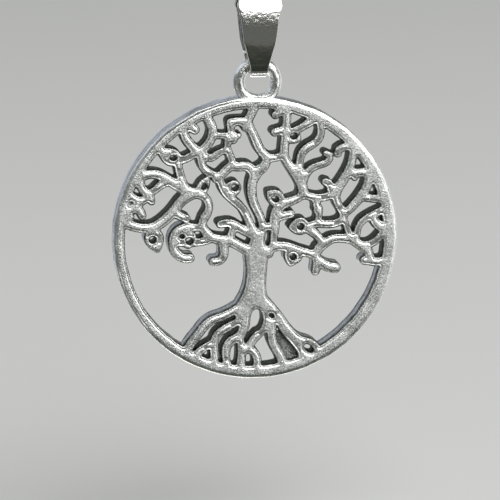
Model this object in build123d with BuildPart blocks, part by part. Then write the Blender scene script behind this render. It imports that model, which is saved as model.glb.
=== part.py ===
# Tree of life pendant: a pierced cast medallion that hangs in a folded bail.
# Millimetres, +Z up, front towards -Y. The origin is inside the bail's top fold, where it hangs.

import math
import os

from build123d import *

os.makedirs("parts", exist_ok=True)

# Medallion: the disc, its frame ring and the thickness of the casting
disc_diameter = 30.0
disc_thickness = 2.6
frame_width = 1.3

# The tree fills a radius this much smaller than the disc's. It and the frame's opening sit off centre.
tree_margin = 0.28
tree_shift_x = -0.18
tree_shift_z = 0.08

# Widths of the tree's strokes, from the thickest root to the finest twig
stem_width = 1.24
bough_width = 1.08
branch_width = 0.96
twig_width = 0.82

# Web between two roots, sunk behind the front face
root_web_width = 1.9
root_web_thickness = 0.9
root_web_recess = 0.7

# Hanging loop, a round ring cast on the top of the disc
loop_outer_diameter = 5.2
loop_wire = 1.28
loop_sink = 0.43

# Bail: a strip folded over at its top, with its lower fold through the loop
bail_sheet = 0.36
bail_height = 9.9
bail_eye_radius = 1.12
bail_fold_radius = 1.3
bail_foot_width = 1.57
bail_ankle_width = 2.0
bail_ankle_height = 1.2
bail_knee_width = 3.43
bail_knee_height = 3.85
bail_waist_width = 4.12
bail_waist_height = 6.6
bail_shoulder_width = 4.76
bail_shoulder_height = 7.5
bail_top_width = 3.95
bail_seam = 0.12
bail_seam_height = 2.4

# Length of the straight facets that stand for the curved sides of a stroke
facet = 0.42
cap_facets = 6

disc_radius = disc_diameter / 2
frame_inner_radius = disc_radius - frame_width
tree_radius = disc_radius - tree_margin
loop_radius = (loop_outer_diameter - loop_wire) / 2
loop_rise = disc_radius - loop_sink + loop_radius

# Heights: the inside of the top fold is zero, and the loop's wire turns about the lower fold's centre
top_fold_z = -bail_fold_radius
bail_bottom_z = bail_sheet - bail_height
hinge_z = bail_bottom_z + bail_sheet + bail_eye_radius
loop_z = hinge_z - loop_radius
disc_z = loop_z - loop_rise
disc_plane = Plane(origin=(0, 0, disc_z), x_dir=(1, 0, 0), z_dir=(0, -1, 0))

WIDTHS = {"stem": stem_width, "bough": bough_width, "branch": branch_width, "twig": twig_width}

# The tree, as strokes with a width at their start and at their end.
# Points are shares of the tree's radius from its centre: x to the right, z up.
# name: (start, end, [(x, z), ...])
STROKES = {
    # Roots, from left to right
    "root_far_left": ("branch", "bough", [
        (-0.020, -0.460), (-0.130, -0.522), (-0.225, -0.571), (-0.306, -0.602),
        (-0.358, -0.651), (-0.406, -0.713), (-0.450, -0.774), (-0.480, -0.830)]),
    "root_left": ("branch", "bough", [
        (-0.060, -0.585), (-0.140, -0.625), (-0.200, -0.660), (-0.250, -0.695),
        (-0.275, -0.740), (-0.280, -0.800), (-0.275, -0.860), (-0.285, -0.920)]),
    "root_left_fork": ("twig", "bough", [
        (-0.275, -0.750), (-0.325, -0.782), (-0.370, -0.812), (-0.415, -0.865)]),
    "root_inner_left": ("stem", "branch", [
        (-0.035, -0.550), (-0.060, -0.620), (-0.074, -0.680), (-0.100, -0.720),
        (-0.150, -0.745), (-0.185, -0.785), (-0.195, -0.840), (-0.180, -0.930)]),
    "root_middle": ("twig", "bough", [
        (-0.090, -0.715), (-0.085, -0.770), (-0.080, -0.840), (-0.085, -0.930)]),
    "root_middle_cross": ("bough", "branch", [
        (0.105, -0.608), (0.060, -0.685), (0.010, -0.735), (-0.020, -0.780), (-0.060, -0.825)]),
    "root_middle_fork": ("branch", "branch", [
        (-0.040, -0.815), (0.000, -0.825), (0.028, -0.865), (0.032, -0.945)]),
    "root_right": ("bough", "bough", [
        (0.128, -0.600), (0.134, -0.680), (0.143, -0.755), (0.174, -0.820),
        (0.206, -0.875), (0.225, -0.940)]),
    "root_far_right": ("stem", "stem", [
        (0.080, -0.465), (0.150, -0.545), (0.200, -0.610), (0.245, -0.680),
        (0.300, -0.745), (0.345, -0.800), (0.370, -0.870)]),
    "root_far_right_heel": ("bough", "branch", [
        (0.230, -0.640), (0.290, -0.710), (0.350, -0.750), (0.410, -0.770),
        (0.450, -0.800), (0.480, -0.850)]),
    "root_far_right_toe": ("stem", "stem", [(0.370, -0.835), (0.450, -0.855)]),

    # Centre of the crown
    "centre_left_bough": ("branch", "branch", [
        (0.030, -0.040), (0.000, 0.040), (-0.028, 0.092), (-0.054, 0.145), (-0.094, 0.212),
        (-0.140, 0.258), (-0.190, 0.303), (-0.226, 0.345), (-0.246, 0.390), (-0.268, 0.446)]),
    "centre_left_rise": ("twig", "bough", [
        (-0.268, 0.446), (-0.325, 0.470), (-0.370, 0.505), (-0.390, 0.555), (-0.395, 0.620)]),
    "centre_left_spread": ("bough", "bough", [
        (-0.280, 0.430), (-0.230, 0.475), (-0.190, 0.512), (-0.155, 0.525)]),
    "centre_bough": ("twig", "stem", [
        (0.050, -0.050), (0.058, 0.050), (0.055, 0.100), (0.033, 0.165), (0.003, 0.225),
        (-0.020, 0.285), (-0.028, 0.345), (-0.022, 0.405), (0.000, 0.455), (0.030, 0.500)]),
    "centre_arch": ("stem", "bough", [
        (-0.010, 0.440), (-0.030, 0.495), (-0.070, 0.520), (-0.115, 0.518), (-0.165, 0.525)]),
    "centre_rise": ("stem", "bough", [
        (0.025, 0.490), (0.065, 0.530), (0.080, 0.580)]),
    "crown_left": ("bough", "bough", [
        (0.085, 0.582), (0.032, 0.635), (0.005, 0.690), (-0.022, 0.745), (-0.048, 0.795),
        (-0.062, 0.840), (-0.045, 0.885), (-0.020, 0.950)]),
    "crown_bridge": ("branch", "branch", [
        (0.060, 0.590), (0.100, 0.577), (0.150, 0.580), (0.205, 0.600)]),
    "crown_right": ("bough", "branch", [
        (0.200, 0.590), (0.203, 0.650), (0.208, 0.720), (0.215, 0.790), (0.218, 0.860),
        (0.218, 0.950)]),
    "crown_right_fall": ("branch", "stem", [
        (0.200, 0.600), (0.222, 0.555), (0.252, 0.508), (0.283, 0.465), (0.310, 0.425),
        (0.330, 0.385), (0.343, 0.345), (0.345, 0.310)]),
    "crown_hook_high": ("bough", "branch", [(0.210, 0.935), (0.165, 0.905), (0.133, 0.887)]),
    "crown_hook_low": ("branch", "branch", [(0.212, 0.782), (0.168, 0.770), (0.133, 0.760)]),

    # Upper right of the crown
    "eye_lid": ("twig", "bough", [
        (0.215, 0.765), (0.255, 0.768), (0.300, 0.783), (0.345, 0.808), (0.385, 0.834),
        (0.430, 0.862)]),
    "fan_left": ("branch", "branch", [
        (0.320, 0.460), (0.315, 0.520), (0.318, 0.570), (0.335, 0.615), (0.372, 0.652),
        (0.418, 0.680), (0.452, 0.715), (0.464, 0.765), (0.458, 0.840)]),
    "fan_right": ("branch", "twig", [
        (0.345, 0.400), (0.362, 0.452), (0.400, 0.497), (0.442, 0.518), (0.485, 0.530),
        (0.524, 0.552), (0.533, 0.588), (0.505, 0.606)]),
    "rim_hook": ("branch", "branch", [
        (0.700, 0.655), (0.645, 0.652), (0.603, 0.640), (0.592, 0.606)]),
    "right_rib": ("branch", "stem", [
        (0.700, 0.660), (0.698, 0.600), (0.692, 0.550), (0.678, 0.500), (0.652, 0.445),
        (0.625, 0.400), (0.597, 0.355), (0.580, 0.310)]),
    "right_shelf": ("bough", "bough", [(0.680, 0.460), (0.740, 0.465), (0.860, 0.465)]),
    "right_shelf_bud": ("twig", "twig", [(0.716, 0.450), (0.716, 0.428)]),
    "inner_hook": ("branch", "branch", [
        (0.580, 0.320), (0.545, 0.350), (0.534, 0.385), (0.505, 0.400)]),
    "right_lintel": ("branch", "branch", [
        (0.330, 0.320), (0.390, 0.298), (0.450, 0.287), (0.505, 0.292), (0.575, 0.310)]),
    "right_descent": ("branch", "branch", [
        (0.580, 0.310), (0.587, 0.268), (0.605, 0.225), (0.630, 0.185), (0.640, 0.140)]),
    "right_climb": ("branch", "stem", [
        (0.640, 0.160), (0.690, 0.207), (0.733, 0.253), (0.772, 0.305), (0.803, 0.358),
        (0.817, 0.412), (0.822, 0.470)]),
    "right_lash": ("branch", "branch", [(0.770, 0.290), (0.850, 0.277), (0.930, 0.262)]),
    "right_bar": ("branch", "twig", [
        (0.445, 0.280), (0.442, 0.240), (0.458, 0.200), (0.462, 0.155), (0.452, 0.110)]),
    "right_sill": ("branch", "branch", [
        (0.390, 0.078), (0.440, 0.098), (0.500, 0.096), (0.560, 0.096), (0.610, 0.110),
        (0.640, 0.140)]),
    "right_drop": ("twig", "twig", [
        (0.640, 0.150), (0.655, 0.100), (0.672, 0.055), (0.695, 0.000)]),
    "right_sweep": ("branch", "twig", [
        (0.945, 0.215), (0.880, 0.172), (0.825, 0.145), (0.782, 0.115), (0.750, 0.075),
        (0.740, 0.030), (0.735, -0.020)]),
    "right_comma": ("branch", "stem", [
        (0.855, 0.160), (0.868, 0.110), (0.900, 0.078), (0.950, 0.060)]),
    "right_cup": ("twig", "branch", [
        (0.720, -0.025), (0.765, -0.052), (0.815, -0.060), (0.860, -0.045), (0.895, -0.013),
        (0.945, 0.030)]),
    "right_bowl": ("bough", "bough", [
        (0.460, -0.085), (0.505, -0.050), (0.550, -0.018), (0.600, -0.008), (0.650, -0.010),
        (0.705, -0.020), (0.750, -0.052), (0.795, -0.085), (0.830, -0.115)]),
    "right_tail": ("branch", "bough", [
        (0.815, -0.085), (0.835, -0.135), (0.860, -0.178), (0.910, -0.182), (0.960, -0.175)]),
    "right_tip": ("branch", "bough", [(0.870, -0.185), (0.825, -0.175), (0.795, -0.174)]),

    # Lower right of the crown
    "right_bough": ("branch", "branch", [
        (0.110, -0.120), (0.130, -0.030), (0.146, 0.050), (0.148, 0.120), (0.145, 0.190)]),
    "right_arm": ("stem", "branch", [
        (0.140, 0.130), (0.168, 0.210), (0.212, 0.246), (0.258, 0.263), (0.305, 0.282),
        (0.350, 0.312)]),
    "right_thorn": ("branch", "branch", [(0.145, 0.135), (0.200, 0.155), (0.262, 0.169)]),
    "slot_bridge": ("branch", "branch", [(0.060, 0.080), (0.145, 0.080)]),
    "right_limb": ("stem", "branch", [
        (0.060, -0.085), (0.140, -0.066), (0.220, -0.065), (0.285, -0.083), (0.345, -0.103),
        (0.405, -0.120), (0.450, -0.145)]),
    "right_limb_end": ("branch", "stem", [
        (0.420, -0.125), (0.465, -0.168), (0.510, -0.203), (0.555, -0.222), (0.590, -0.226)]),
    "right_limb_spur": ("branch", "branch", [(0.440, -0.125), (0.452, -0.180), (0.446, -0.250)]),
    "right_knee": ("branch", "branch", [(0.425, -0.120), (0.470, -0.095), (0.485, -0.045)]),
    "right_ramp": ("bough", "branch", [
        (0.370, 0.070), (0.415, 0.040), (0.455, 0.010), (0.485, -0.040)]),

    # Lower left of the crown
    "left_limb": ("stem", "branch", [
        (0.010, -0.120), (-0.060, -0.085), (-0.110, -0.058), (-0.155, -0.030), (-0.205, -0.016),
        (-0.260, -0.010), (-0.305, 0.005), (-0.342, 0.035), (-0.370, 0.075), (-0.378, 0.115),
        (-0.355, 0.160), (-0.334, 0.205), (-0.334, 0.250), (-0.360, 0.292), (-0.410, 0.315)]),
    "left_hook": ("bough", "branch", [
        (-0.215, -0.020), (-0.220, -0.080), (-0.219, -0.125), (-0.240, -0.160),
        (-0.270, -0.171), (-0.298, -0.171)]),
    "left_finger": ("bough", "branch", [
        (0.020, 0.000), (-0.030, 0.032), (-0.080, 0.055), (-0.120, 0.082), (-0.155, 0.103),
        (-0.195, 0.108), (-0.248, 0.101)]),
    "left_strut": ("branch", "branch", [(-0.140, 0.085), (-0.165, 0.040), (-0.172, -0.020)]),
    "cluster_lintel": ("twig", "branch", [
        (-0.370, 0.085), (-0.420, 0.078), (-0.470, 0.085), (-0.510, 0.078)]),
    "cluster_back": ("bough", "bough", [
        (-0.490, 0.075), (-0.545, 0.060), (-0.578, 0.020), (-0.586, -0.040), (-0.568, -0.095),
        (-0.525, -0.137), (-0.462, -0.144)]),
    "cluster_palm": ("stem", "stem", [(-0.560, 0.010), (-0.494, -0.004)]),
    "cluster_heart": ("bough", "branch", [(-0.545, -0.026), (-0.505, -0.030), (-0.475, -0.047)]),
    "cluster_brow": ("stem", "branch", [(-0.525, 0.060), (-0.485, 0.045), (-0.447, 0.012)]),
    "cluster_link": ("branch", "branch", [
        (-0.438, -0.034), (-0.405, -0.028), (-0.365, -0.022), (-0.310, 0.000)]),
    "left_stub": ("branch", "branch", [(-0.575, 0.185), (-0.530, 0.160), (-0.492, 0.143)]),
    "left_arm": ("bough", "stem", [
        (-0.950, 0.115), (-0.890, 0.100), (-0.840, 0.082), (-0.780, 0.077), (-0.722, 0.086),
        (-0.670, 0.115), (-0.620, 0.158), (-0.580, 0.205), (-0.545, 0.255), (-0.500, 0.295),
        (-0.450, 0.318)]),
    "left_hand": ("stem", "stem", [(-0.500, 0.335), (-0.440, 0.328), (-0.385, 0.320)]),

    # Left of the crown
    "left_vine": ("stem", "branch", [
        (-0.480, 0.340), (-0.535, 0.370), (-0.585, 0.398), (-0.632, 0.428), (-0.680, 0.456),
        (-0.740, 0.469), (-0.800, 0.458), (-0.880, 0.450)]),
    "left_vine_fork": ("bough", "twig", [
        (-0.620, 0.412), (-0.665, 0.395), (-0.708, 0.363), (-0.755, 0.330)]),
    "left_curl": ("branch", "bough", [
        (-0.760, 0.322), (-0.800, 0.348), (-0.822, 0.385), (-0.825, 0.440)]),
    "left_comma": ("branch", "branch", [
        (-0.930, 0.350), (-0.885, 0.305), (-0.842, 0.280), (-0.800, 0.280), (-0.765, 0.310)]),
    "left_drop": ("branch", "twig", [(-0.762, 0.320), (-0.748, 0.290), (-0.742, 0.268)]),
    "left_slant": ("branch", "branch", [
        (-0.780, 0.290), (-0.830, 0.255), (-0.870, 0.222), (-0.950, 0.190)]),
    "left_claw": ("bough", "branch", [
        (-0.868, 0.222), (-0.832, 0.208), (-0.812, 0.180), (-0.808, 0.165)]),
    "left_web_high": ("stem", "stem", [(-0.930, 0.400), (-0.880, 0.440), (-0.850, 0.490)]),
    "left_web_middle": ("bough", "bough", [(-0.950, 0.320), (-0.915, 0.315)]),
    "left_web_low": ("stem", "stem", [(-0.950, 0.160), (-0.905, 0.160)]),

    # Upper left of the crown
    "left_rise": ("branch", "branch", [
        (-0.480, 0.335), (-0.515, 0.395), (-0.537, 0.450), (-0.551, 0.500), (-0.557, 0.560)]),
    "left_bridge": ("branch", "branch", [
        (-0.560, 0.575), (-0.512, 0.573), (-0.472, 0.592), (-0.432, 0.612), (-0.395, 0.622)]),
    "left_lash": ("branch", "twig", [
        (-0.590, 0.600), (-0.650, 0.622), (-0.690, 0.650), (-0.740, 0.690)]),
    "left_prong": ("bough", "bough", [
        (-0.400, 0.622), (-0.447, 0.650), (-0.482, 0.692), (-0.510, 0.732), (-0.518, 0.775),
        (-0.530, 0.840)]),
    "left_spur": ("bough", "bough", [(-0.530, 0.850), (-0.475, 0.808), (-0.438, 0.783)]),
    "left_horn": ("bough", "bough", [
        (-0.400, 0.625), (-0.350, 0.672), (-0.323, 0.720), (-0.314, 0.770), (-0.325, 0.820),
        (-0.352, 0.868), (-0.380, 0.930)]),
    "left_rung": ("twig", "twig", [(-0.315, 0.745), (-0.270, 0.741), (-0.190, 0.738)]),
    "left_wave": ("branch", "twig", [
        (-0.395, 0.612), (-0.350, 0.586), (-0.312, 0.582), (-0.282, 0.605), (-0.250, 0.625),
        (-0.195, 0.630)]),
    "left_tie": ("twig", "branch", [
        (-0.200, 0.720), (-0.208, 0.675), (-0.202, 0.635), (-0.183, 0.590), (-0.168, 0.535)]),
    "eye_brow": ("bough", "bough", [(-0.060, 0.840), (-0.120, 0.840), (-0.188, 0.834)]),
    "eye_cheek": ("branch", "twig", [
        (-0.190, 0.830), (-0.182, 0.785), (-0.165, 0.752), (-0.128, 0.742)]),
    "eye_chin": ("bough", "stem", [(-0.195, 0.730), (-0.168, 0.718)]),
    "eye_nose": ("branch", "branch", [(-0.075, 0.850), (-0.078, 0.795)]),
}

# Leaf eyes: a leaf from its base to its tip, with a round eye cut through it.
# name: (base, tip, width, eye centre, eye radii, turn of the eye in degrees)
LEAVES = {
    "leaf_centre": ((-0.098, 0.368), (-0.235, 0.350), 0.125, (-0.147, 0.364), (0.024, 0.020), 0),
    "leaf_inner": ((0.205, 0.245), (0.078, 0.338), 0.130, (0.145, 0.280), (0.025, 0.016), -25),
    "leaf_top": ((0.215, 0.760), (0.325, 0.700), 0.120, (0.272, 0.733), (0.023, 0.018), 10),
    "leaf_right": ((0.400, 0.085), (0.238, 0.073), 0.135, (0.331, 0.079), (0.020, 0.020), 0),
    "leaf_low": ((0.300, -0.075), (0.258, -0.215), 0.140, (0.281, -0.140), (0.020, 0.020), 0),
    "leaf_left": ((-0.745, 0.080), (-0.690, -0.104), 0.145, (-0.731, -0.008), (0.023, 0.022), 0),
    "leaf_high_left": ((-0.530, 0.555), (-0.705, 0.632), 0.135, (-0.592, 0.583), (0.024, 0.016), 0),
    "leaf_hand": ((-0.412, 0.308), (-0.332, 0.452), 0.095, (-0.369, 0.373), (0.024, 0.014), 60),
    "leaf_bar": ((0.475, 0.170), (0.430, 0.240), 0.082, None, None, 0),
    "leaf_low_tip": ((0.275, -0.130), (0.345, -0.165), 0.095, None, None, 0),
}

# Small round holes in the tree, and the leaf cluster's eyes.
# name: (centre, radii, turn in degrees)
EYES = {
    "cluster_eye_high": ((-0.521, 0.015), (0.015, 0.012), 0),
    "cluster_eye_low": ((-0.468, -0.020), (0.024, 0.022), 0),
    "crown_eye": ((-0.132, 0.786), (0.020, 0.024), 0),
    "trunk_slot": ((0.094, -0.008), (0.015, 0.052), 0),
    "root_arch": ((0.024, -0.598), (0.042, 0.077), 0),
    "root_pinhole": ((0.134, -0.570), (0.020, 0.012), -45),
    "root_window": ((0.408, -0.812), (0.039, 0.021), -42),
}

# A web sunk between the two right-hand roots, as a stroke without taper.
ROOT_WEB = [(0.200, -0.755), (0.235, -0.820), (0.278, -0.872)]

# The trunk's two sides, from its fork down to the roots.
# (z, left, right)
TRUNK = [
    (0.020, -0.020, 0.080),
    (-0.060, -0.050, 0.120),
    (-0.130, -0.066, 0.108),
    (-0.220, -0.056, 0.096),
    (-0.320, -0.060, 0.092),
    (-0.400, -0.082, 0.098),
    (-0.470, -0.120, 0.130),
    (-0.540, -0.140, 0.170),
    (-0.600, -0.120, 0.175),
]


def place(share):
    """A point of the tables as millimetres from the disc's centre."""
    return Vector(tree_shift_x + share[0] * tree_radius, tree_shift_z + share[1] * tree_radius)


def outline(points):
    """The face inside a closed run of straight facets."""
    with BuildSketch(mode=Mode.PRIVATE) as face:
        with BuildLine():
            Polyline(*points, close=True)
        make_face()
    return face.sketch


def cap(centre, across, half_width):
    """Facets of the half circle that ends a stroke, from across round to its opposite side."""
    start = math.atan2(across.Y, across.X)
    turns = [start - math.pi * step / cap_facets for step in range(1, cap_facets)]
    return [centre + Vector(math.cos(turn), math.sin(turn)) * half_width for turn in turns]


def stroke(start_width, end_width, shares):
    """A rounded stroke along a smooth line through its points, tapered from end to end."""
    points = [place(share) for share in shares]
    path = Spline(*points) if len(points) > 2 else Line(*points)
    steps = max(3, math.ceil(path.length / facet))
    left, right = [], []
    for step in range(steps + 1):
        share = step / steps
        half_width = (start_width + (end_width - start_width) * share) / 2
        along = path.tangent_at(share)
        across = Vector(-along.Y, along.X) * half_width
        left.append(path.position_at(share) + across)
        right.append(path.position_at(share) - across)
    tip = cap(points[-1], left[-1] - points[-1], end_width / 2)
    tail = cap(points[0], right[0] - points[0], start_width / 2)
    return outline(left + tip + right[::-1] + tail)


def leaf(base, tip, width):
    """A leaf that is round near its base and comes to a blunt point at its tip."""
    start, end = place(base), place(tip)
    along = (end - start).normalized()
    across = Vector(-along.Y, along.X)
    length = (end - start).length
    steps = max(6, math.ceil(2 * length / facet))
    left, right = [], []
    for step in range(steps + 1):
        share = step / steps
        swell = math.sin(math.pi * share ** 0.8) ** 0.7 if 0 < share < 1 else 0.12
        middle = start + along * (length * share)
        left.append(middle + across * (swell * width * tree_radius / 2))
        right.append(middle - across * (swell * width * tree_radius / 2))
    return outline(left + right[::-1])


def eye(centre, radii, turn):
    """An oval hole."""
    middle = place(centre)
    with BuildSketch(mode=Mode.PRIVATE) as hole:
        with Locations(Location((middle.X, middle.Y, 0), (0, 0, turn))):
            Ellipse(radii[0] * tree_radius, radii[1] * tree_radius)
    return hole.sketch


def trunk():
    """The trunk, between a smooth left side and a smooth right side."""
    left = Spline(*[place((row[1], row[0])) for row in TRUNK])
    right = Spline(*[place((row[2], row[0])) for row in TRUNK])
    steps = math.ceil(left.length / facet)
    shares = [step / steps for step in range(steps + 1)]
    side = [left.position_at(share) for share in shares]
    return outline(side + [right.position_at(share) for share in reversed(shares)])


def rim():
    """The frame ring."""
    with BuildSketch(mode=Mode.PRIVATE) as ring:
        Circle(disc_radius)
        with Locations((tree_shift_x, tree_shift_z)):
            Circle(frame_inner_radius, mode=Mode.SUBTRACT)
    return ring.sketch


def folds(radius_change):
    """Side view of the bail's two folds and straight legs, grown from the inner face."""
    with BuildSketch(mode=Mode.PRIVATE) as side:
        with Locations((0, top_fold_z)):
            Circle(bail_fold_radius + radius_change)
        with Locations((0, hinge_z)):
            Circle(bail_eye_radius + radius_change)
        make_hull()
    return side.sketch


# Medallion: frame ring, tree, roots and hanging loop in one casting
tree_faces = [stroke(WIDTHS[start], WIDTHS[end], shares) for start, end, shares in STROKES.values()]
tree_faces += [leaf(base, tip, width) for base, tip, width, *_ in LEAVES.values()]
tree_faces.append(trunk())
tree_holes = [eye(centre, radii, turn) for *_, centre, radii, turn in LEAVES.values() if centre]
tree_holes += [eye(centre, radii, turn) for centre, radii, turn in EYES.values()]

with BuildPart() as medallion:
    with Locations((0, 0, loop_z)):
        Torus(loop_radius, loop_wire / 2, rotation=(90, 0, 0))
    with Locations((0, 0, disc_z)):
        Cylinder(disc_radius - frame_width / 2, loop_wire, rotation=(90, 0, 0), mode=Mode.SUBTRACT)
    with BuildSketch(disc_plane.offset(disc_thickness / 2 - root_web_recess)):
        add(stroke(root_web_width, root_web_width, ROOT_WEB))
    extrude(amount=-root_web_thickness)
    with BuildSketch(disc_plane.offset(-disc_thickness / 2)):
        add(tree_faces)
        Circle(disc_radius - frame_width / 2, mode=Mode.INTERSECT)
        add(rim())
        add(tree_holes, mode=Mode.SUBTRACT)
    extrude(amount=disc_thickness)
medallion.part.label = "medallion"
export_step(medallion.part, "parts/medallion.step")

# Bail: one strip, folded over at the top and through the loop at the bottom, with its seam behind
bail_rows = [
    (0, bail_foot_width),
    (bail_ankle_height, bail_ankle_width),
    (bail_knee_height, bail_knee_width),
    (bail_waist_height, bail_waist_width),
    (bail_shoulder_height, bail_shoulder_width),
    (bail_height, bail_top_width),
]
with BuildPart() as bail:
    with BuildSketch(Plane.YZ):
        add(folds(bail_sheet))
        add(folds(0), mode=Mode.SUBTRACT)
    extrude(amount=bail_shoulder_width / 2, both=True)
    with BuildSketch(Plane.XZ):
        with BuildLine():
            right_side = [(width / 2, bail_bottom_z + height) for height, width in bail_rows]
            Polyline(*right_side, *[(-x, z) for x, z in reversed(right_side)], close=True)
        make_face()
    extrude(amount=bail_fold_radius + bail_eye_radius, both=True, mode=Mode.INTERSECT)
    with Locations((0, bail_fold_radius, bail_bottom_z + bail_seam_height)):
        Box(bail_shoulder_width, bail_fold_radius, bail_seam, mode=Mode.SUBTRACT)
bail.part.label = "bail"
export_step(bail.part, "parts/bail.step")
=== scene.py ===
# Looks of the tree of life pendant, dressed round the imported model.
# Named sizes are in millimetres and named angles in degrees, unless a comment says otherwise.

import math

import bpy
import numpy as np
from mathutils import Matrix, Vector
from mathutils.geometry import delaunay_2d_cdt


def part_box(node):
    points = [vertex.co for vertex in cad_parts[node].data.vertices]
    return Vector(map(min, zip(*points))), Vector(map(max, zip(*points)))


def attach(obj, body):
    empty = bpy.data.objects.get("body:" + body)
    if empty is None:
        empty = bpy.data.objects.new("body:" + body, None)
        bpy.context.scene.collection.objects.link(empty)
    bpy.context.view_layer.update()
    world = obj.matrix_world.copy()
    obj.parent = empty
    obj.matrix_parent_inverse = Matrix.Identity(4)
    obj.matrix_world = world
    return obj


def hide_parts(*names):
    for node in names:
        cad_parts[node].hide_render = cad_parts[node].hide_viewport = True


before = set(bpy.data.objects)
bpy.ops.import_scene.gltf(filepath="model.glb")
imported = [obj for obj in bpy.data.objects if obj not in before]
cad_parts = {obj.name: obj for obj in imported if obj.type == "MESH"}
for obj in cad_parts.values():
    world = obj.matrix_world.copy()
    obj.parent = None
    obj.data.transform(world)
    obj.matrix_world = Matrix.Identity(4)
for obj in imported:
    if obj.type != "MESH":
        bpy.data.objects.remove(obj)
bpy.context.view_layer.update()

MM = 0.001
SEED = 20240

# Photograph's camera: its direction and distance from the disc, and where the disc's centre comes out
PHOTO_SIZE = 500
SENSOR_WIDTH = 36.0
CAMERA_AZIMUTH = -8.463
CAMERA_ELEVATION = 10.829
CAMERA_ROLL = 0.974
CAMERA_DISTANCE = 500.0
PIXELS_PER_MM = 9.503
DISC_CENTRE_PX = (254.40, 236.56)

# Sizes of the casting
LOOP_OUTER_DIAMETER = 5.2
LOOP_WIRE = 1.28
DISC_RADIUS = 15.0
FRAME_WIDTH = 1.3
FRAME_MIDDLE = DISC_RADIUS - FRAME_WIDTH / 2

# Unevenness of the loop's wire as shares of its thickness, its waves, and points round loop and wire
LOOP_WOBBLE = 0.018
LOOP_SHRINK = 0.02
LOOP_WAVES = 8
LOOP_POINTS = (96, 30)

# Web sunk between two roots: its middle line from the disc's centre, its faces, its least reach at the
# ends, and points along and across
WEB_LINE = ((2.76, -11.03), (3.28, -11.99), (3.91, -12.76))
WEB_WIDTH = 1.9
WEB_FRONT = -0.6
WEB_BACK = 0.3
WEB_DENT = 0.03
WEB_END_REACH = 0.01
WEB_POINTS = (26, 13)

# Bail: the sheet, the lower fold's inner radius, the widths by height above its bottom, and the seam
BAIL_SHEET = 0.36
BAIL_EYE_RADIUS = 1.12
BAIL_HEIGHT = 9.9
BAIL_WIDTHS = ((0, 1.57), (1.2, 2.0), (3.85, 3.43), (6.6, 4.12), (7.5, 4.76), (9.9, 3.95))
BAIL_SEAM_HEIGHT = 2.4
BAIL_SEAM = 0.12
# Lean of its legs towards each other by the height above the lower fold's middle, and how full the
# upper fold is
BAIL_LEANS = ((0, -6.0), (1.5, -4.0), (2.9, -1.0), (3.6, 1.0), (4.5, 4.0), (5.9, 14.5), (6.5, 22.0))
BAIL_CROWN_PULL = 0.75
# Its rounded edge, and the waves of its face in radians a millimetre, across and up
BAIL_EDGE = 0.13
BAIL_WAVES = ((0.8, 1.9), (1.3, -0.9))
BAIL_WAVE_DEPTH = 0.012
# Points of a leg, of half the upper fold, of an edge and across the face, and the lower fold's step
BAIL_LEG_POINTS = 40
BAIL_CROWN_POINTS = 15
BAIL_EDGE_POINTS = 5
BAIL_FACE_POINTS = 15
BAIL_FOLD_STEP = 8

# Softened edges of the casting: how far they reach in from the side, and how deep
EDGE_REACH = 0.42
EDGE_DROP = 0.34
# Rows of the edge by their turn from the wall to the face, and how dark each is; a worn one is below zero
FACE_TURN = 90
EDGE_TURNS = (0, 28, 50, 70, FACE_TURN)
EDGE_PATINA = (0.85, 0.7, 0.05, -0.45, 0)
# The ring's outer edge is sharper towards one side, which is counted from the right and is in radians
RIM_SHARP_SIDE = math.radians(158)
RIM_SHARPNESS = 0.88
RIM_SHARP_RATE = 1.8
# The area of a gap in square millimetres, and how dark its walls are
GAP_AREAS = (8, 25)
GAP_PATINA = (1.0, 0.3)
# Crowding of the strokes as painted shade, patina and polish of the loop and of the web
LOOP_LOOKS = (0.3, 0.0, 1.0)
WEB_LOOKS = (0.4, 0.45, 0.0)

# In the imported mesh, heights this close are one flat face, and points are merged on this fine a grid
FLAT_WITHIN = 1e-3
MERGED_PER_MM = 2000

# Grid of depths over the disc, and how the outline is softened and roams
FIELD_STEP = 0.05
FIELD_MARGIN = 0.6
FIELD_CAP = 0.55
CORNER_SOFTENING = 0.075
OUTLINE_WANDER = 0.014
OUTLINE_WANDER_SIZE = 0.35

# Points of the outline and of the faces
OUTLINE_STEP = 0.125
FEWEST_POINTS = 8
FACE_POINT_STEP = 0.55
FACE_POINT_JITTER = 0.2
FACE_POINT_INSET = 0.08
JOINED_WITHIN = 1e-7

# Unevenness of the faces, from one row of the edge on, and how far round a point crowding is felt, for
# painted shade where the strokes crowd
FACE_WAVE = 0.022
FACE_WAVE_SIZE = 0.55
FACE_WAVE_SINK = 1.5
FACE_WAVE_TURN = 70
CROWD_SHADE_SIZE = 0.9

# Walls of the gaps: their rows, hollow and unevenness
WALL_ROWS = 3
WALL_HOLLOW = 0.02
WALL_WANDER = 0.02
WALL_WANDER_SIZE = 0.25
WALL_ROW_SHIFT = 1.3

# Antique silver: colours and sheen from clean to stained, the dark end also giving painted shade where the
# strokes crowd
ANTIQUE_COLOURS = ((0.92, 0.93, 0.925), (0.06, 0.062, 0.05))
ANTIQUE_SHEENS = ((1.0, 1.0, 1.0), (0.5, 0.52, 0.46))
# Sizes of its noises, and depths of its bumps
FINE_DETAIL = 3.0
SAND_SIZE = 0.115
SAND_NOISE_ROUGHNESS = 0.65
GRAIN_SIZE = 0.42
CLOUD_SIZE = 1.6
BLOTCH_SIZE = 0.5
STREAK_SIZE = 0.45
DENT_SIZE = 1.1
SAND_DEPTH = 0.07
GRAIN_DEPTH = 0.06
GRAIN_STRENGTH = 0.7
DENT_DEPTH = 0.13
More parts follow.
